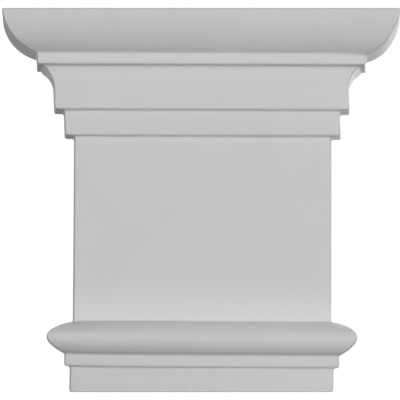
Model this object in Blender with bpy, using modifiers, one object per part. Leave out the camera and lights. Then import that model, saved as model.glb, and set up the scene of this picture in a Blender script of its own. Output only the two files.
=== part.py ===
"""Pilaster capital: one cast block with mitred returns and a flat back at the wall.

Metres, +Z up. The face looks along -Y and the wall is on the +Y side. The origin
is the middle of the underside, where the capital bears on its pilaster.
"""
import math

import bmesh
import bpy

# Frieze, the plain neck that carries on the pilaster's shaft
NECK_WIDTH = 0.171
NECK_PROJECTION = 0.028
NECK_HEIGHT = 0.1237

# Heights of the other mouldings, from the underside up
BASE_HEIGHT = 0.0166
COLLAR_FILLET_HEIGHT = 0.0081
COLLAR_BELOW_NOSE = 0.0119
COLLAR_ABOVE_NOSE = 0.0102
LOWER_FASCIA_HEIGHT = 0.0168
UPPER_FASCIA_HEIGHT = 0.0139
COVE_HEIGHT = 0.0149
CROWN_FILLET_HEIGHT = 0.0077
CROWN_HEIGHT = 0.0271

# How far each moulding reaches out from the faces of the frieze
BASE_REACH = 0.0017
COLLAR_FILLET_REACH = 0.0052
COLLAR_REACH = 0.0167
LOWER_FASCIA_REACH = 0.0060
UPPER_FASCIA_REACH = 0.0122
COVE_REACH = 0.0197
CROWN_FILLET_REACH = 0.0229
CROWN_REACH = 0.0448

# Curved faces: the crown's bow out of its chord, and how round the collar is at its
# nose and at its root, where 2 is an ellipse and 1 is a straight slope
CROWN_BOW = 0.0055
COLLAR_ROUND_BELOW = (1.8, 1.0)
COLLAR_ROUND_ABOVE = (2.0, 1.43)

# The returns spread towards the wall, so that the casting leaves its mould
RETURN_DRAFT = math.radians(3.1)

# Softening of the cast edges
ARRIS_WIDTH = 0.0014
ARRIS_ANGLE = math.radians(34)
ARRIS_SEGMENTS = 2

# Facets along each curved face
CROWN_STEPS = 14
COVE_STEPS = 8
COLLAR_STEPS = 9

WALL_Y = (NECK_PROJECTION + BASE_REACH) / 2


def clear_objects():
    for old in list(bpy.data.objects):
        bpy.data.objects.remove(old, do_unlink=True)


def bowed(start, end, bow, steps):
    """Points after start, up to end, on an arc that stands bow proud of its chord."""
    (reach_a, level_a), (reach_b, level_b) = start, end
    chord = math.hypot(reach_b - reach_a, level_b - level_a)
    radius = ((chord / 2) ** 2 + bow**2) / (2 * bow)
    half_turn = math.asin(chord / 2 / radius)
    along = ((reach_b - reach_a) / chord, (level_b - level_a) / chord)
    outward = (along[1], -along[0])
    points = []
    for step in range(1, steps + 1):
        turn = half_turn * (2 * step / steps - 1)
        run = chord / 2 + radius * math.sin(turn)
        rise = radius * math.cos(turn) - (radius - bow)
        points.append((
            reach_a + run * along[0] + rise * outward[0],
            level_a + run * along[1] + rise * outward[1],
        ))
    return points


def cove(start, end, steps):
    """Points after start on the hollow arc that leaves start straight up."""
    reach, level = start
    out, up = end[0] - reach, end[1] - level
    radius = (out**2 + up**2) / (2 * out)
    last_turn = math.asin(up / radius)
    points = []
    for step in range(1, steps + 1):
        turn = last_turn * step / steps
        points.append((reach + radius * (1 - math.cos(turn)), level + radius * math.sin(turn)))
    return points


def collar_quarter(root, nose, roundness, steps):
    """Points from the collar's root out to its nose, both included."""
    at_nose, at_root = roundness
    points = []
    for step in range(steps + 1):
        turn = math.pi / 2 * step / steps
        out = math.sin(turn) ** (2 / at_root)
        drop = math.cos(turn) ** (2 / at_nose)
        points.append((
            root[0] + (nose[0] - root[0]) * out,
            nose[1] + (root[1] - nose[1]) * drop,
        ))
    return points


def moulding_profile():
    """The (reach, level) outline of the face, from the underside to the top."""
    level = 0.0
    outline = [(BASE_REACH, level)]

    level += BASE_HEIGHT
    outline += [(BASE_REACH, level), (COLLAR_FILLET_REACH, level)]

    level += COLLAR_FILLET_HEIGHT
    collar_root = (COLLAR_FILLET_REACH, level)
    level += COLLAR_BELOW_NOSE
    nose = (COLLAR_REACH, level)
    outline += collar_quarter(collar_root, nose, COLLAR_ROUND_BELOW, COLLAR_STEPS)
    level += COLLAR_ABOVE_NOSE
    upper_quarter = collar_quarter((0.0, level), nose, COLLAR_ROUND_ABOVE, COLLAR_STEPS)
    outline += upper_quarter[-2::-1]

    level += NECK_HEIGHT
    outline += [(0.0, level), (LOWER_FASCIA_REACH, level)]
    level += LOWER_FASCIA_HEIGHT
    outline += [(LOWER_FASCIA_REACH, level), (UPPER_FASCIA_REACH, level)]
    level += UPPER_FASCIA_HEIGHT
    cove_start = (UPPER_FASCIA_REACH, level)
    level += COVE_HEIGHT
    cove_end = (COVE_REACH, level)
    outline += [cove_start] + cove(cove_start, cove_end, COVE_STEPS)

    outline.append((CROWN_FILLET_REACH, level))
    level += CROWN_FILLET_HEIGHT
    crown_start = (CROWN_FILLET_REACH, level)
    level += CROWN_HEIGHT
    crown_end = (CROWN_REACH, level)
    outline += [crown_start] + bowed(crown_start, crown_end, CROWN_BOW, CROWN_STEPS)
    return outline


def set_ring(verts, reach, level):
    """Put a ring's four corners at the moulding's face and, spread out, at the wall."""
    half_width = NECK_WIDTH / 2 + reach
    depth = NECK_PROJECTION + reach
    spread = depth * math.tan(RETURN_DRAFT)
    for vert in verts:
        if vert.co.y < 0:
            vert.co = (math.copysign(half_width, vert.co.x), WALL_Y - depth, level)
        else:
            vert.co = (math.copysign(half_width + spread, vert.co.x), WALL_Y, level)


def grow_block(outline):
    """A block pulled up from its footprint, ring by ring, along the outline."""
    bm = bmesh.new()
    bmesh.ops.create_cube(bm, size=1.0)
    set_ring([v for v in bm.verts if v.co.z < 0], *outline[0])
    bm.faces.ensure_lookup_table()
    top = max(bm.faces, key=lambda face: face.calc_center_median().z)
    set_ring(top.verts, *outline[1])
    for reach, level in outline[2:]:
        grown = bmesh.ops.extrude_face_region(bm, geom=[top])["geom"]
        old_top, top = top, next(g for g in grown if isinstance(g, bmesh.types.BMFace))
        if old_top.is_valid:
            bm.faces.remove(old_top)
        set_ring(top.verts, reach, level)
    bmesh.ops.recalc_face_normals(bm, faces=bm.faces)
    return bm


def mark_arrises(bm):
    """Weight every edge to be softened: all the sharp ones but those at the wall."""
    weight = bm.edges.layers.float.new("bevel_weight_edge")
    for edge in bm.edges:
        at_wall = all(vert.co.y > WALL_Y - ARRIS_WIDTH for vert in edge.verts)
        if not at_wall and edge.calc_face_angle() > ARRIS_ANGLE:
            edge[weight] = 1.0


def primed_foam():
    material = bpy.data.materials.new("primed foam")
    material.use_nodes = True
    shader = material.node_tree.nodes["Principled BSDF"]
    shader.inputs["Base Color"].default_value = (0.80, 0.80, 0.79, 1.0)
    shader.inputs["Roughness"].default_value = 0.62
    shader.inputs["Metallic"].default_value = 0.0
    return material


def build_capital():
    collection = bpy.data.collections.new("Pilaster Capital")
    bpy.context.scene.collection.children.link(collection)

    bm = grow_block(moulding_profile())
    mark_arrises(bm)
    mesh = bpy.data.meshes.new("pilaster_capital")
    bm.to_mesh(mesh)
    bm.free()
    mesh.materials.append(primed_foam())
    mesh.shade_smooth()
    mesh.set_sharp_from_angle(angle=ARRIS_ANGLE)

    capital = bpy.data.objects.new("pilaster_capital", mesh)
    collection.objects.link(capital)
    soften = capital.modifiers.new("soften arrises", "BEVEL")
    soften.limit_method = "WEIGHT"
    soften.width = ARRIS_WIDTH
    soften.segments = ARRIS_SEGMENTS
    soften.use_clamp_overlap = False
    return capital


clear_objects()
build_capital()
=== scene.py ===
import math

import bmesh
import bpy
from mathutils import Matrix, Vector


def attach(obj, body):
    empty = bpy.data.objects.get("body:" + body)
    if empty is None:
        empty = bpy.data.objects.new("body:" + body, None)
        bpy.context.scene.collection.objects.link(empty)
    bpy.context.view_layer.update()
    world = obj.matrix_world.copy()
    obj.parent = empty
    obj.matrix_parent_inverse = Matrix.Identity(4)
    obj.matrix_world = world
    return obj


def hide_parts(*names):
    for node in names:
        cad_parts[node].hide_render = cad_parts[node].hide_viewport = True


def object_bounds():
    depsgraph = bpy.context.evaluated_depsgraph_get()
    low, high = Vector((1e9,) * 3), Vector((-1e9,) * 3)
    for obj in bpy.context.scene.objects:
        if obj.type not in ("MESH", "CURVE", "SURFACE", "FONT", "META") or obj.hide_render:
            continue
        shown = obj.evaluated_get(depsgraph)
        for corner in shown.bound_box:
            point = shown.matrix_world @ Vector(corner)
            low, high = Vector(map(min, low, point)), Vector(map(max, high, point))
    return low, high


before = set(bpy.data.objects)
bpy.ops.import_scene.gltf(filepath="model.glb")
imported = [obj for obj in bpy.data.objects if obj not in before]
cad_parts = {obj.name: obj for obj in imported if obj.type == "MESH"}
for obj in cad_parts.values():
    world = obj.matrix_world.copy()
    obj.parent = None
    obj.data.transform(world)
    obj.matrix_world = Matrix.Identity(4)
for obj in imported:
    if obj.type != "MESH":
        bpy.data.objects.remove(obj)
cad_low, cad_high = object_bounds()

# The casting: one block of rigid foam, poured in a mould and primed off-white.
# Its face is a run of plain mouldings, mitred round both returns, and its back
# is the flat side that is stuck to the wall. It is pulled up from its footprint.
wall_y = cad_high.y
neck_half_width = 0.0855
neck_projection = 0.028
neck_height = 0.1237

base_height = 0.0166
base_reach = 0.0017
collar_fillet_height = 0.0081
collar_fillet_reach = 0.0052
collar_reach = 0.0167
collar_below_nose = 0.0119
collar_above_nose = 0.0102
collar_round_below = (1.8, 1.0)
collar_round_above = (2.0, 1.43)
lower_fascia_height = 0.0168
lower_fascia_reach = 0.0060
upper_fascia_height = 0.0139
upper_fascia_reach = 0.0122
cove_height = 0.0149
cove_reach = 0.0197
cove_flare = 0.0030
cove_flare_power = 4
crown_fillet_height = 0.0077
crown_fillet_reach = 0.0229
crown_height = 0.0271
crown_reach = 0.04476
crown_bow = 0.0055
return_draft = math.radians(3.1)

# The casting is a little out of true. Its mouldings run downhill to the right, the
# lower ones more, and its neck leans that way. The collar is pinched ever more towards
# its left end, from a fifth of the way out. The crown sags at its right end, all of it
# up to a quarter of its height and less and less up to half
lower_tilt = 0.0050
upper_tilt = 0.0032
neck_lean = 0.0011
collar_pinch = 0.0010
pinch_start = 0.2
pinch_power = 3
crown_sag = 0.0011
sag_full = 0.25
sag_end = 0.5

collar_steps = 18
cove_steps = 14
crown_steps = 26
flat_step = 0.0062
grid_step = 0.0065
arris_softening = 0.0015
mitre_share = 0.6
arris_segments = 4
sharp_angle = math.radians(34)

# Levels where one moulding ends and the next starts
collar_root = base_height + collar_fillet_height
collar_nose = collar_root + collar_below_nose
collar_top = collar_nose + collar_above_nose
top = cad_high.z
crown_foot = top - crown_height
cove_top = crown_foot - crown_fillet_height
cove_start = cove_top - cove_height
neck_top = cove_start - upper_fascia_height - lower_fascia_height

# What counts as facing one way, as the same place and as the same ring of points, and
# what is stored for the back, the top and the underside, which have no mitre
facing = 0.9
same_place = 0.00001
ring_digits = 5
far_from_mitre = -1.0


def flat_run(reach, low, high):
    """Evenly spaced (reach, level) points up an upright face, without its first."""
    count = max(1, round((high - low) / flat_step))
    return [(reach, low + (high - low) * step / count) for step in range(1, count + 1)]


def collar_quarter(root, nose, roundness):
    """Points from the collar's root out to its nose, both included."""
    at_nose, at_root = roundness
    points = []
    for step in range(collar_steps + 1):
        turn = math.pi / 2 * step / collar_steps
        out = math.sin(turn) ** (2 / at_root)
        drop = math.cos(turn) ** (2 / at_nose)
        points.append((
            root[0] + (nose[0] - root[0]) * out,
            nose[1] + (root[1] - nose[1]) * drop,
        ))
    return points


def cove_run(start, end):
    """Points after start on the hollow arc that leaves the fascia straight up."""
    out, up = end[0] - start[0], end[1] - start[1]
    radius = (out**2 + up**2) / (2 * out)
    last_turn = math.asin(up / radius)
    turns = [last_turn * step / cove_steps for step in range(1, cove_steps + 1)]
    return [
        (start[0] + radius * (1 - math.cos(turn)), start[1] + radius * math.sin(turn))
        for turn in turns
    ]


def crown_run(start, end):
    """Points after start on the bowed face of the crown, up to its top edge."""
    chord = math.hypot(end[0] - start[0], end[1] - start[1])
    radius = ((chord / 2) ** 2 + crown_bow**2) / (2 * crown_bow)
    half_turn = math.asin(chord / 2 / radius)
    along = ((end[0] - start[0]) / chord, (end[1] - start[1]) / chord)
    points = []
    for step in range(1, crown_steps + 1):
        turn = half_turn * (2 * step / crown_steps - 1)
        run = chord / 2 + radius * math.sin(turn)
        rise = radius * math.cos(turn) - (radius - crown_bow)
        points.append((
            start[0] + run * along[0] + rise * along[1],
            start[1] + run * along[1] - rise * along[0],
        ))
    return points


def casting_outline():
    """The (reach, level) outline of the face above the first ring of the base."""
    level = base_height
    outline = flat_run(base_reach, 0.0, level)
    outline.append((collar_fillet_reach, level))
    outline += flat_run(collar_fillet_reach, level, level + collar_fillet_height)
    level += collar_fillet_height
    nose = (collar_reach, level + collar_below_nose)
    outline += collar_quarter((collar_fillet_reach, level), nose, collar_round_below)[1:]
    level += collar_below_nose + collar_above_nose
    outline += collar_quarter((0.0, level), nose, collar_round_above)[-2::-1]
    outline += flat_run(0.0, level, level + neck_height)
    level += neck_height
    outline.append((lower_fascia_reach, level))
    outline += flat_run(lower_fascia_reach, level, level + lower_fascia_height)
    level += lower_fascia_height
    outline.append((upper_fascia_reach, level))
    outline += flat_run(upper_fascia_reach, level, level + upper_fascia_height)
    level += upper_fascia_height
    outline += cove_run((upper_fascia_reach, level), (cove_reach, level + cove_height))
    level += cove_height
    outline.append((crown_fillet_reach, level))
    outline += flat_run(crown_fillet_reach, level, level + crown_fillet_height)
    level += crown_fillet_height
    outline += crown_run((crown_fillet_reach, level), (crown_reach, level + crown_height))
    return outline


def start_casting(first_height):
    """A cube made into the foot of the base, left in edit mode with its top selected."""
    bpy.ops.object.select_all(action="DESELECT")
    depth = neck_projection + base_reach
    bpy.ops.mesh.primitive_cube_add(
        size=1.0,
        location=(0, wall_y - depth / 2, first_height / 2),
        scale=(2 * (neck_half_width + base_reach), depth, first_height),
    )
    bpy.ops.object.transform_apply(location=True, rotation=True, scale=True)
    casting = bpy.context.object
    casting.name = "pilaster_capital_casting"
    bpy.ops.object.mode_set(mode="EDIT")
    bpy.ops.mesh.select_mode(type="FACE")
    bpy.ops.mesh.select_all(action="DESELECT")
    bm = bmesh.from_edit_mesh(casting.data)
    for face in bm.faces:
        face.select_set(face.normal.z > facing)
    bmesh.update_edit_mesh(casting.data)
    return casting


def pull_up(now, then):
    """Extrudes the selected top face from one outline point to the next."""
    bpy.ops.mesh.extrude_region_move(TRANSFORM_OT_translate={"value": (0, 0, then[1] - now[1])})
    widen = (neck_half_width + then[0]) / (neck_half_width + now[0])
    deepen = (neck_projection + then[0]) / (neck_projection + now[0])
    if then[0] != now[0]:
        bpy.ops.transform.resize(value=(widen, deepen, 1.0), center_override=(0, wall_y, 0))


def spread_returns(casting):
    """Moves the wall edge of each return outwards, by the draft over its depth."""
    for side in (-1, 1):
        bpy.ops.mesh.select_mode(type="VERT")
        bpy.ops.mesh.select_all(action="DESELECT")
        bm = bmesh.from_edit_mesh(casting.data)
        for vert in bm.verts:
            vert.select_set(side * vert.co.x > 0 and vert.co.y > wall_y - same_place)
        bm.select_flush_mode()
        bmesh.update_edit_mesh(casting.data)
        bpy.ops.transform.resize(
            value=(1 + math.tan(return_draft), 1.0, 1.0),
            center_override=(side * (neck_half_width - neck_projection), wall_y, 0),
        )


def soften_arrises(casting):
    """Rounds the sharp edges of the face and returns, the mitres less, and none at the wall."""
    bm = bmesh.from_edit_mesh(casting.data)
    weight = bm.edges.layers.float.new("bevel_weight_edge")
    for edge in bm.edges:
        at_wall = all(vert.co.y > wall_y - arris_softening for vert in edge.verts)
        if not at_wall and edge.calc_face_angle() > sharp_angle:
            rise = abs(edge.verts[0].co.z - edge.verts[1].co.z)
            edge[weight] = mitre_share if rise > same_place else 1.0
    bmesh.update_edit_mesh(casting.data)
    bpy.ops.object.mode_set(mode="OBJECT")
    soften = casting.modifiers.new("soften arrises", "BEVEL")
    soften.limit_method = "WEIGHT"
    soften.width = arris_softening
    soften.segments = arris_segments
    soften.use_clamp_overlap = False
    bpy.ops.object.modifier_apply(modifier=soften.name)
    bpy.ops.object.mode_set(mode="EDIT")


def cut_grid():
    """Cuts the casting up every few millimetres, so that its faces can be pushed about."""
    half_width = cad_high.x
    across = round(half_width / grid_step)
    for step in range(-across + 1, across):
        bpy.ops.mesh.select_all(action="SELECT")
        bpy.ops.mesh.bisect(plane_co=(step * half_width / across, 0, 0), plane_no=(1, 0, 0))
    depth = neck_projection + crown_reach
    back = round(depth / grid_step)
    for step in range(1, back):
        bpy.ops.mesh.select_all(action="SELECT")
        bpy.ops.mesh.bisect(plane_co=(0, wall_y - step * depth / back, 0), plane_no=(0, 1, 0))
    bpy.ops.mesh.select_all(action="SELECT")
    bpy.ops.mesh.dissolve_degenerate(threshold=same_place)


def mark_places(casting):
    """Stores each place's level, how far it is past its mitre, and its inset at the wall."""
    bm = bmesh.from_edit_mesh(casting.data)
    for name in ("level", "mitre", "inset"):
        bm.verts.layers.float.new(name)
    level = bm.verts.layers.float["level"]
    mitre = bm.verts.layers.float["mitre"]
    inset = bm.verts.layers.float["inset"]
    half_widths = {}
    for vert in bm.verts:
        ring = round(vert.co.z, ring_digits)
        half_widths[ring] = max(half_widths.get(ring, 0.0), abs(vert.co.x))
    for vert in bm.verts:
        beside = abs(vert.co.x) - neck_half_width
        before = wall_y - vert.co.y - neck_projection
        moulded = any(
            face.normal.y < facing
            and same_place < face.calc_center_median().z < top - same_place
            for face in vert.link_faces
        )
        vert[level] = vert.co.z
        vert[mitre] = beside - before if moulded else far_from_mitre
        if vert.co.y > wall_y - same_place:
            from_side = half_widths[round(vert.co.z, ring_digits)] - abs(vert.co.x)
            vert[inset] = min(from_side, vert.co.z, top - vert.co.z)
    bmesh.update_edit_mesh(casting.data)


def open_cove_ends(casting):
    """Opens the returns' coves out towards the wall, where they run into the fillet."""
    bm = bmesh.from_edit_mesh(casting.data)
    for vert in bm.verts:
        up = (vert.co.z - cove_start) / cove_height
        depth = wall_y - vert.co.y
        reach = abs(vert.co.x) - neck_half_width - depth * math.tan(return_draft)
        on_return = reach > depth - neck_projection
        if on_return and cove_start < vert.co.z < cove_top + same_place:
            back = max(0.0, 1 - depth / (neck_projection + cove_reach))
            room = (crown_fillet_reach - reach) / (crown_fillet_reach - cove_reach)
            opening = cove_flare * up**cove_flare_power * back * min(1.0, room)
            vert.co.x += math.copysign(opening, vert.co.x)
    bmesh.update_edit_mesh(casting.data)


def pinch_collar(casting):
    """Draws the collar's left end in towards its nose, from above and from below."""
    bm = bmesh.from_edit_mesh(casting.data)
    for vert in bm.verts:
        level = vert.co.z
        left = max(0.0, -vert.co.x / neck_half_width - pinch_start) ** pinch_power
        if level < collar_nose:
            drawn = min(1.0, level / base_height, (collar_nose - level) / collar_below_nose)
        else:
            above_collar = max(0.0, level - collar_top)
            drawn = -min(1.0, (level - collar_nose) / collar_above_nose)
            drawn *= max(0.0, 1 - above_collar / collar_reach)
        vert.co.z += collar_pinch * left * drawn
    bmesh.update_edit_mesh(casting.data)


def sag_crown(casting):
    """Lets the crown's foot down at its right end, and the top of the fillet with it."""
    bm = bmesh.from_edit_mesh(casting.data)
    for vert in bm.verts:
        up_crown = (vert.co.z - crown_foot) / crown_height
        down_fillet = (crown_foot - vert.co.z) / crown_fillet_height
        past_neck = (vert.co.x - neck_half_width) / crown_fillet_reach
        fading = (sag_end - up_crown) / (sag_end - sag_full)
        vert.co.z -= crown_sag * max(0.0, min(1.0, fading, 1 - down_fillet, past_neck))
    bmesh.update_edit_mesh(casting.data)


def set_out_of_true(casting):
    """Tilts the mouldings and leans the neck, and leaves the two cut ends in place."""
    bm = bmesh.from_edit_mesh(casting.data)
    for vert in bm.verts:
        level = vert.co.z
        held = min(1.0, level / base_height, (top - level) / crown_height)
        tilt = lower_tilt if level < neck_top / 2 else upper_tilt
        up_neck = math.sqrt(max(0.0, level) / neck_top)
        down_fascias = (cove_start - level) / (cove_start - neck_top)
        vert.co.z -= tilt * held * vert.co.x
        vert.co.x += neck_lean * max(0.0, min(up_neck, down_fascias))
    bmesh.update_edit_mesh(casting.data)


outline = casting_outline()
casting = start_casting(outline[0][1])
for now, then in zip(outline, outline[1:]):
    pull_up(now, then)
spread_returns(casting)
soften_arrises(casting)
cut_grid()
mark_places(casting)
open_cove_ends(casting)
pinch_collar(casting)
sag_crown(casting)
set_out_of_true(casting)
bpy.ops.object.mode_set(mode="OBJECT")
bpy.ops.object.shade_smooth_by_angle(angle=sharp_angle)

# Node group for a sprayed or a foamed skin: soft clouding, fine grain and round pits,
# all from the place on the object.
uneven = bpy.data.node_groups.new("uneven skin", "ShaderNodeTree")
uneven.interface.new_socket("Place", in_out="INPUT", socket_type="NodeSocketVector")
uneven.interface.new_socket("Cloud size", in_out="INPUT", socket_type="NodeSocketFloat")
uneven.interface.new_socket("Grain size", in_out="INPUT", socket_type="NodeSocketFloat")
uneven.interface.new_socket("Cloud", in_out="OUTPUT", socket_type="NodeSocketFloat")
uneven.interface.new_socket("Grain", in_out="OUTPUT", socket_type="NodeSocketFloat")
uneven.interface.new_socket("Pits", in_out="OUTPUT", socket_type="NodeSocketFloat")
group_in = uneven.nodes.new("NodeGroupInput")
group_out = uneven.nodes.new("NodeGroupOutput")


def per_size(size_name):
    """One over a size, which is the scale that a texture node takes."""
    divide = uneven.nodes.new("ShaderNodeMath")
    divide.operation = "DIVIDE"
    divide.inputs[0].default_value = 1.0
    uneven.links.new(group_in.outputs[size_name], divide.inputs[1])
    return divide.outputs["Value"]


cloud = uneven.nodes.new("ShaderNodeTexNoise")
cloud.inputs["Detail"].default_value = 4.0
cloud.inputs["Roughness"].default_value = 0.55
uneven.links.new(group_in.outputs["Place"], cloud.inputs["Vector"])
uneven.links.new(per_size("Cloud size"), cloud.inputs["Scale"])
uneven.links.new(cloud.outputs["Fac"], group_out.inputs["Cloud"])
grain = uneven.nodes.new("ShaderNodeTexNoise")
grain.inputs["Detail"].default_value = 2.0
uneven.links.new(group_in.outputs["Place"], grain.inputs["Vector"])
uneven.links.new(per_size("Grain size"), grain.inputs["Scale"])
uneven.links.new(grain.outputs["Fac"], group_out.inputs["Grain"])
cells = uneven.nodes.new("ShaderNodeTexVoronoi")
cells.feature = "F1"
uneven.links.new(group_in.outputs["Place"], cells.inputs["Vector"])
uneven.links.new(per_size("Grain size"), cells.inputs["Scale"])
pit = uneven.nodes.new("ShaderNodeMapRange")
pit.interpolation_type = "SMOOTHSTEP"
pit.inputs["From Min"].default_value = 0.12
pit.inputs["From Max"].default_value = 0.30
pit.inputs["To Min"].default_value = 1.0
pit.inputs["To Max"].default_value = 0.0
uneven.links.new(cells.outputs["Distance"], pit.inputs["Value"])
uneven.links.new(pit.outputs["Result"], group_out.inputs["Pits"])

primer = bpy.data.materials.new("off-white primer")
primer.use_nodes = True
nodes = primer.node_tree.nodes
links = primer.node_tree.links
shader = nodes["Principled BSDF"]
place = nodes.new("ShaderNodeTexCoord")


def skin(cloud_size, grain_size):
    """The uneven skin at its own cloud and grain size."""
    node = nodes.new("ShaderNodeGroup")
    node.node_tree = uneven
    node.inputs["Cloud size"].default_value = cloud_size
    node.inputs["Grain size"].default_value = grain_size
    links.new(place.outputs["Object"], node.inputs["Place"])
    return node


def remap(value, low, high, to_low, to_high, smooth=True):
    """A value's range carried over to another range, held at both ends."""
    node = nodes.new("ShaderNodeMapRange")
    node.interpolation_type = "SMOOTHSTEP" if smooth else "LINEAR"
    node.inputs["From Min"].default_value = low
    node.inputs["From Max"].default_value = high
    node.inputs["To Min"].default_value = to_low
    node.inputs["To Max"].default_value = to_high
    links.new(value, node.inputs["Value"])
    return node.outputs["Result"]


def combine(operation, *values):
    """One, two or three values put through one operation."""
    node = nodes.new("ShaderNodeMath")
    node.operation = operation
    for socket, value in zip(node.inputs, values):
        if isinstance(value, (int, float)):
            socket.default_value = value
        else:
            links.new(value, socket)
    return node.outputs["Value"]


def blend(amount, first, second):
    """Two colours mixed by an amount."""
    node = nodes.new("ShaderNodeMix")
    node.data_type = "RGBA"
    links.new(amount, node.inputs["Factor"])
    for socket, colour in ((node.inputs["A"], first), (node.inputs["B"], second)):
        if isinstance(colour, tuple):
            socket.default_value = colour
        else:
            links.new(colour, socket)
    return node.outputs["Result"]


def marked(name):
    """A value stored on the casting's vertices."""
    node = nodes.new("ShaderNodeAttribute")
    node.attribute_name = name
    return node.outputs["Fac"]


def mask(value, none, full):
    """A share that eases from nothing at one value to all at another."""
    return remap(value, none, full, 0.0, 1.0)


# Primed faces: sprayed paint, clouded by a hundredth. Painted light whitens it at the foot
# of the neck, below the collar's nose, up in the cove and along the lower edge, and painted
# shade darkens it in the crease under the collar and on the underside of the crown's fillet.
paint_light = (0.812, 0.812, 0.812, 1.0)
paint_dark = (0.788, 0.788, 0.788, 1.0)
painted_light_white = (0.93, 0.93, 0.93, 1.0)
painted_shade_grey = (0.56, 0.56, 0.56, 1.0)
spray_cloud_size = 0.045
spray_grain_size = 0.0024
neck_foot_light_share = 0.62
under_nose_light_share = 0.60
crease_shade_share = 0.85
underside_shade_share = 0.4

# Bands of painted light and painted shade along the mouldings: where each comes in, is
# full, starts to fade and ends, as heights above the edge that it follows
neck_foot_light_band = (-0.0002, 0.0006, 0.0, 0.034)
under_nose_light_band = (0.0030, 0.0060, 0.0101, 0.0123)
cove_light_band = (-0.0135, -0.0040, -0.0014, -0.0008)
crease_shade_band = (-0.0003, 0.0, 0.0006, 0.0030)
underside_shade_band = (-0.0012, -0.0006, 0.0004, 0.0008)

# Masks: where each is nothing and where it is full
paint_cloud = (0.30, 0.70)
lower_edge_light = (0.0022, 0.0008)
downward = (-0.2, -0.6)

sprayed = skin(spray_cloud_size, spray_grain_size)
paint = blend(mask(sprayed.outputs["Cloud"], *paint_cloud), paint_dark, paint_light)
level = marked("level")


def band(edge_level, heights):
    """The mask of one band along the edge of a moulding."""
    start, full, fading, end = (edge_level + height for height in heights)
    return combine("MULTIPLY", mask(level, start, full), mask(level, end, fading))


# Painted light: the foot of the neck, below the collar's nose, the top of the cove and the
# lower edge are whitened.
neck_foot_light = combine("MULTIPLY", band(collar_top, neck_foot_light_band), neck_foot_light_share)
under_nose_light = combine("MULTIPLY", band(collar_root, under_nose_light_band), under_nose_light_share)
painted_light = combine("MAXIMUM", neck_foot_light, band(cove_top, cove_light_band))
painted_light = combine("MAXIMUM", under_nose_light, painted_light)
painted_light = combine("MAXIMUM", mask(level, *lower_edge_light), painted_light)
paint = blend(painted_light, paint, painted_light_white)
split_normal = nodes.new("ShaderNodeSeparateXYZ")
links.new(place.outputs["Normal"], split_normal.inputs["Vector"])
facing_down = mask(split_normal.outputs["Z"], *downward)
# Painted shade: the crease under the collar and the underside of the crown's fillet are
# darkened.
underside_shade = combine("MULTIPLY", band(cove_top, underside_shade_band), facing_down)
underside_shade = combine("MULTIPLY", underside_shade, underside_shade_share)
crease_shade = combine("MULTIPLY", band(collar_root, crease_shade_band), crease_shade_share)
paint = blend(combine("MAXIMUM", crease_shade, underside_shade), paint, painted_shade_grey)

# The mitre arrises carry fine lines of painted shade, the returns are mottled where the
# spray met them at a slant, and painted shade darkens, in cloudy patches, what faces up.
shade_and_mottle_grey = (0.50, 0.50, 0.50, 1.0)
up_shade_grey = (0.66, 0.66, 0.66, 1.0)
mitre_shade_line = (0.0011, 0.0002)
past_edge = (0.0012, 0.0030)
mottled_grain = (0.40, 0.62)
mottled_share = 0.40
upward = (0.25, 0.95)
whole_cloud = (0.2, 0.8)
up_shade_share = 0.55
least_up_shade = 0.6
past_mitre = marked("mitre")
# Painted shade: a fine dark line along each mitre arris.
mitre_shade = mask(combine("ABSOLUTE", past_mitre), *mitre_shade_line)
patchy = remap(sprayed.outputs["Grain"], *mottled_grain, 0.0, mottled_share)
mottled = combine("MULTIPLY", mask(past_mitre, *past_edge), patchy)
paint = blend(combine("MAXIMUM", mitre_shade, mottled), paint, shade_and_mottle_grey)
# Painted shade: what faces up is darkened, in cloudy patches.
up_shade = remap(split_normal.outputs["Z"], *upward, 0.0, up_shade_share)
up_shade_patches = remap(sprayed.outputs["Cloud"], *whole_cloud, least_up_shade, 1.0)
face_colour = blend(combine("MULTIPLY", up_shade, up_shade_patches), paint, up_shade_grey)

# The wall side: bare foam as it came out of the open mould, finely pored and creamy,
# with the primer's overspray around its ragged rim.
foam_light = (0.80, 0.775, 0.715, 1.0)
foam_dark = (0.73, 0.70, 0.635, 1.0)
pore_shade_colour = (0.56, 0.53, 0.47, 1.0)
foam_cloud_size = 0.030
pore_size = 0.0035
pore_shade_share = 0.7
rim_raggedness = 0.016
oversprayed_rim = (0.004, 0.010)
at_wall_plane = (wall_y - 0.0002, wall_y - 0.0001)
foam = skin(foam_cloud_size, pore_size)
# Painted shade: the foam's pores are darkened.
pore_shade = combine("MULTIPLY", foam.outputs["Pits"], pore_shade_share)
foam_colour = blend(foam.outputs["Cloud"], foam_dark, foam_light)
foam_colour = blend(pore_shade, foam_colour, pore_shade_colour)
split_place = nodes.new("ShaderNodeSeparateXYZ")
links.new(place.outputs["Object"], split_place.inputs["Vector"])
at_wall = remap(split_place.outputs["Y"], *at_wall_plane, 0.0, 1.0, smooth=False)
ragged = combine("MULTIPLY_ADD", foam.outputs["Cloud"], rim_raggedness, -rim_raggedness / 2)
from_rim = combine("ADD", marked("inset"), ragged)
bare = combine("MULTIPLY", at_wall, mask(from_rim, *oversprayed_rim))
links.new(blend(bare, face_colour, foam_colour), shader.inputs["Base Color"])

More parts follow.
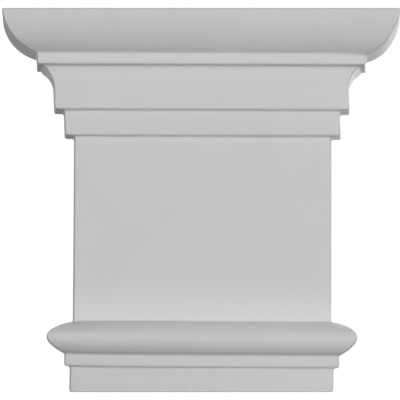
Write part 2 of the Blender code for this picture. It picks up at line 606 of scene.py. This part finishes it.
# Paint is a little glossier than bare foam. Its grain stands up by a hundredth of a
# millimetre, and the foam's pores are a third of a millimetre deep.
paint_smoothest = 0.56
paint_roughest = 0.66
foam_roughening = 0.2
grain_height = 0.000012
pore_depth = 0.00035
paint_roughness = remap(
    sprayed.outputs["Cloud"], *whole_cloud, paint_smoothest, paint_roughest
)
roughness = combine("MULTIPLY_ADD", bare, foam_roughening, paint_roughness)
links.new(roughness, shader.inputs["Roughness"])
grain_relief = combine("MULTIPLY", sprayed.outputs["Grain"], grain_height)
pore_relief = combine("MULTIPLY", foam.outputs["Pits"], -pore_depth)
height = combine("ADD", grain_relief, combine("MULTIPLY", pore_relief, bare))
relief = nodes.new("ShaderNodeBump")
relief.inputs["Distance"].default_value = 1.0
relief.inputs["Strength"].default_value = 1.0
links.new(height, relief.inputs["Height"])
links.new(relief.outputs["Normal"], shader.inputs["Normal"])

casting.data.materials.append(primer)
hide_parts("pilaster_capital")
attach(casting, "root")

# The floor that the capital stands on: a pale, wide, matt sheet. The camera sees it
# overlit to plain white, like the backdrop.
floor_size = 40.0
seen_white = 1.02
bpy.ops.object.select_all(action="DESELECT")
bpy.ops.mesh.primitive_plane_add(size=floor_size, location=(0, 0, 0))
floor = bpy.context.object
floor.name = "floor"
floor_paint = bpy.data.materials.new("pale floor")
floor_paint.use_nodes = True
floor_nodes = floor_paint.node_tree.nodes
floor_links = floor_paint.node_tree.links
floor_shader = floor_nodes["Principled BSDF"]
floor_shader.inputs["Base Color"].default_value = (0.55, 0.55, 0.55, 1.0)
floor_shader.inputs["Roughness"].default_value = 0.9
overlit = floor_nodes.new("ShaderNodeEmission")
overlit.inputs["Strength"].default_value = seen_white
floor_path = floor_nodes.new("ShaderNodeLightPath")
lift = floor_nodes.new("ShaderNodeMixShader")
lit_floor = floor_nodes.new("ShaderNodeAddShader")
floor_links.new(floor_shader.outputs["BSDF"], lit_floor.inputs[0])
floor_links.new(overlit.outputs["Emission"], lit_floor.inputs[1])
floor_links.new(floor_path.outputs["Is Camera Ray"], lift.inputs["Fac"])
floor_links.new(floor_shader.outputs["BSDF"], lift.inputs[1])
floor_links.new(lit_floor.outputs["Shader"], lift.inputs[2])
floor_links.new(lift.outputs["Shader"], floor_nodes["Material Output"].inputs["Surface"])
floor.data.materials.append(floor_paint)

# The studio: soft lamps in a ring three metres off, out of the camera's sight. Strong
# ones stand low in front and on the left, and low and high on the right, where most of
# the light comes from, with weak ones in between. One lights the wall side and the top.
lamp_distance = 3.0
lamp_aim = Vector((0.0, 0.0, cad_high.z / 2))


def soft_lamp(name, around, up, size, power):
    """A square lamp, around degrees to the right of straight ahead and up degrees high."""
    turn, rise = math.radians(around), math.radians(up)
    lamp = bpy.data.lights.new(name, "AREA")
    lamp.shape = "SQUARE"
    lamp.size = size
    lamp.energy = power
    stand = bpy.data.objects.new(name, lamp)
    stand.location = lamp_aim + lamp_distance * Vector((
        math.sin(turn) * math.cos(rise),
        -math.cos(turn) * math.cos(rise),
        math.sin(rise),
    ))
    stand.rotation_euler = (lamp_aim - stand.location).to_track_quat("-Z", "Y").to_euler()
    stand.visible_camera = False
    bpy.context.scene.collection.objects.link(stand)


soft_lamp("front low lamp", around=0, up=3, size=0.35, power=28.3)
soft_lamp("front high lamp", around=0, up=65, size=1.2, power=2.4)
soft_lamp("front right lamp", around=30, up=12, size=0.7, power=5.3)
soft_lamp("front right high lamp", around=45, up=25, size=1.2, power=2.2)
soft_lamp("front left lamp", around=-30, up=12, size=0.7, power=4.3)
soft_lamp("right low lamp", around=75, up=5, size=0.35, power=13.3)
soft_lamp("right lamp", around=90, up=12, size=0.7, power=25.8)
soft_lamp("right high lamp", around=90, up=35, size=1.2, power=12.9)
soft_lamp("right back lamp", around=115, up=8, size=0.7, power=19.1)
soft_lamp("left low lamp", around=-75, up=5, size=0.35, power=12.6)
soft_lamp("left lamp", around=-90, up=8, size=0.7, power=3.7)
soft_lamp("back high lamp", around=180, up=40, size=1.2, power=22.0)

# The backdrop is white to the camera and gives no light of its own, so all the shading
# on the capital comes from the lamps.
world = bpy.data.worlds.new("white room")
bpy.context.scene.world = world
world.use_nodes = True
world_nodes = world.node_tree.nodes
world_links = world.node_tree.links
seen = world_nodes["Background"]
seen.inputs["Color"].default_value = (1.0, 1.0, 1.0, 1.0)
seen.inputs["Strength"].default_value = seen_white
glow = world_nodes.new("ShaderNodeBackground")
glow.inputs["Color"].default_value = (1.0, 1.0, 1.0, 1.0)
glow.inputs["Strength"].default_value = 0.0
path = world_nodes.new("ShaderNodeLightPath")
choice = world_nodes.new("ShaderNodeMixShader")
world_links.new(path.outputs["Is Camera Ray"], choice.inputs["Fac"])
world_links.new(glow.outputs["Background"], choice.inputs[1])
world_links.new(seen.outputs["Background"], choice.inputs[2])
world_links.new(choice.outputs["Shader"], world_nodes["World Output"].inputs["Surface"])

bpy.context.scene.view_settings.view_transform = "Standard"

# The camera stands two metres off, straight in front and level with the capital's
# foot, and looks slightly up at it through a long lens.
camera_distance = 2.0
camera_aside = -0.0008
camera_height = 0.004
pixels_per_radian = 3010.4
frame_pixels = 400
look_up = 0.0618
lens_data = bpy.data.cameras.new("camera")
lens_data.sensor_width = 36.0
lens_data.lens = lens_data.sensor_width * pixels_per_radian / frame_pixels
camera = bpy.data.objects.new("camera", lens_data)
camera.location = (camera_aside, wall_y - neck_projection - camera_distance, camera_height)
camera.rotation_mode = "XYZ"
camera.rotation_euler = (math.pi / 2 + look_up, 0.0, 0.0)
bpy.context.scene.collection.objects.link(camera)
bpy.context.scene.camera = camera
